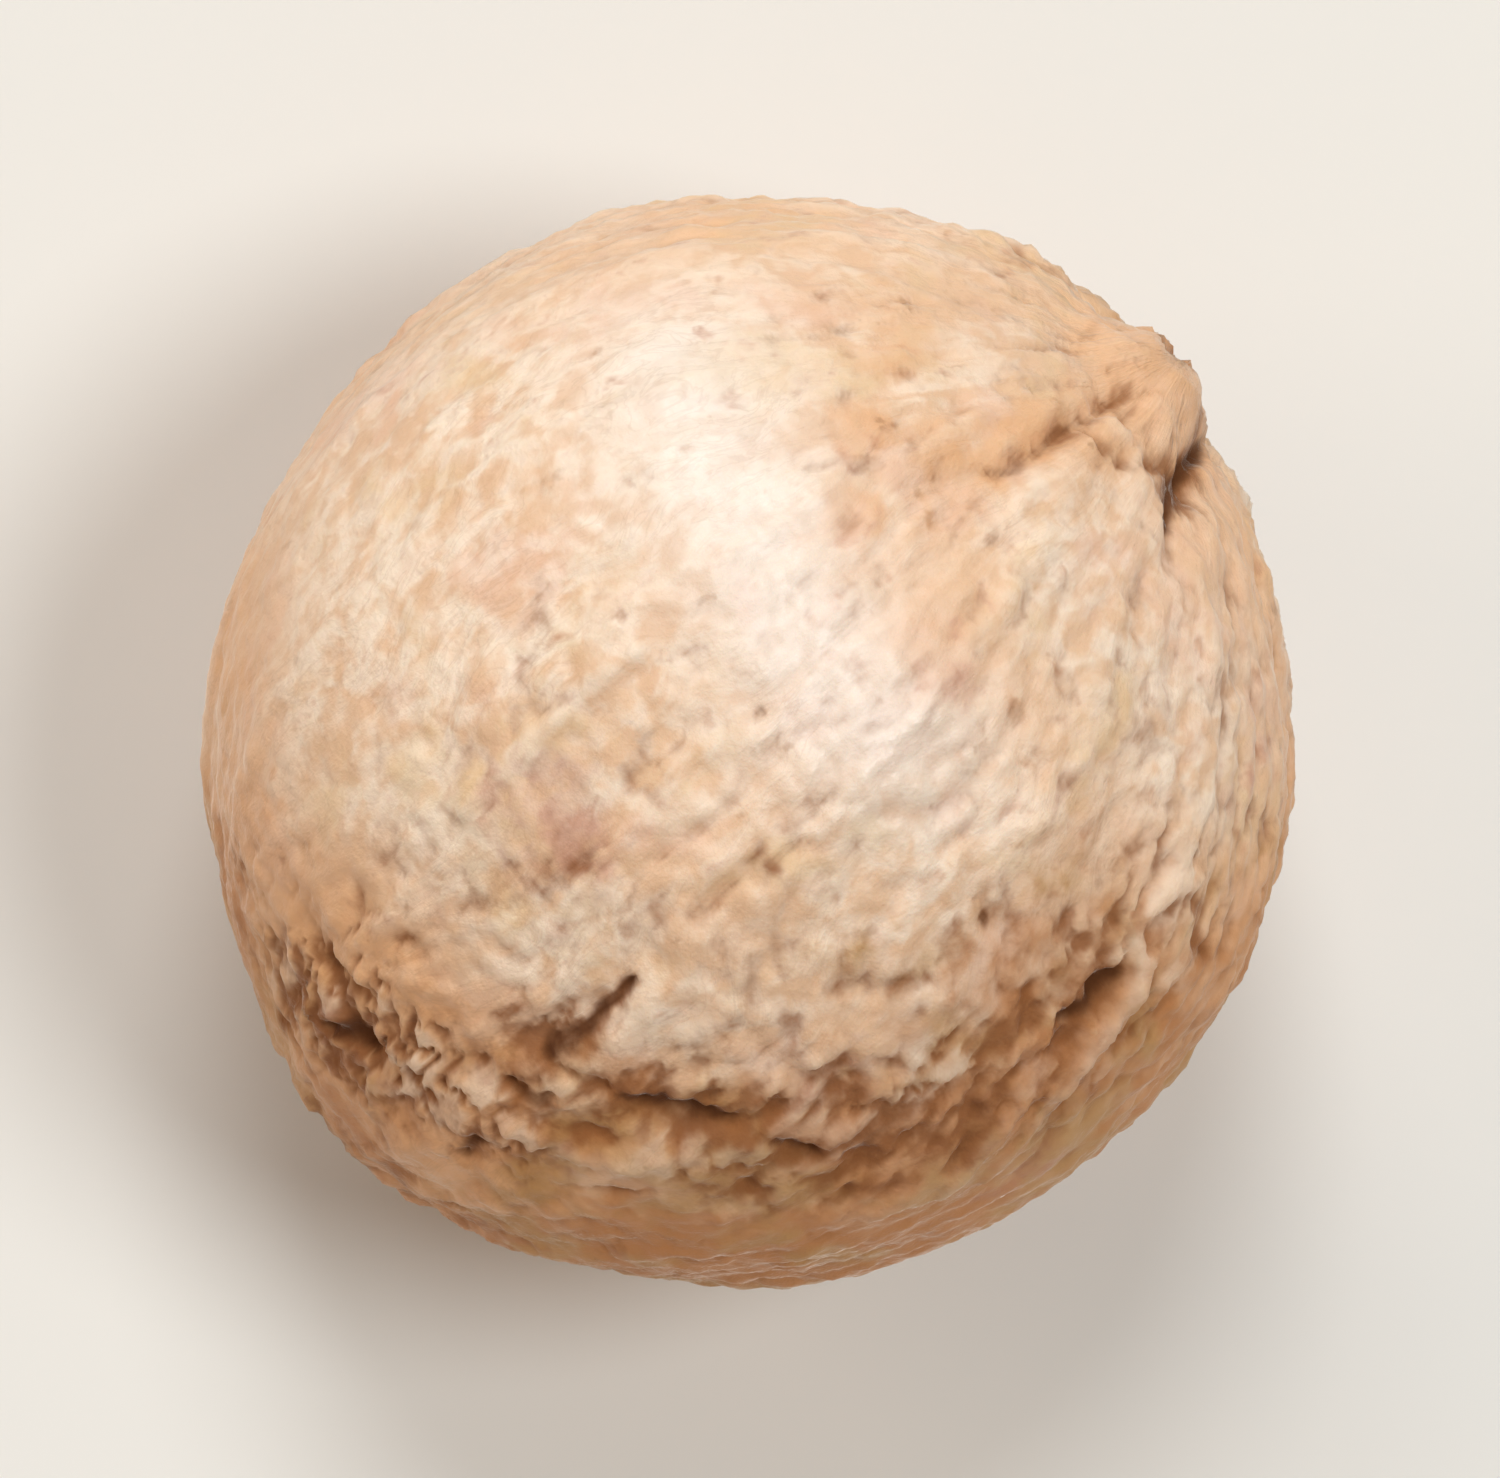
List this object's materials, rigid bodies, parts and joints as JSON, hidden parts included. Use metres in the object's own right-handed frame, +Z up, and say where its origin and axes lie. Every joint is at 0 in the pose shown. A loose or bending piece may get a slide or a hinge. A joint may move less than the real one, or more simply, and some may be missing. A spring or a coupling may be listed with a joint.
{
  "type": "white peppercorn",
  "caption": "Small round dried pepper seed, pale cream, with a blunt nub at one end, a sunken scar at the other and low ribs between them.",
  "frame": {"origin": "middle of the corn's box in X and Y, on the surface that its flat spot rests on", "axes": "+Z up; +X towards the nub, which points 14.5 degrees above level; the scar faces the other way, a little down"},
  "size_m": [0.0054, 0.005, 0.0049],
  "materials": {
    "pepper_skin": "dry matt seed skin, cream with tan creases"
  },
  "bodies": {
    "root": {"peppercorn": "pepper_skin"}
  },
  "joints": []
}
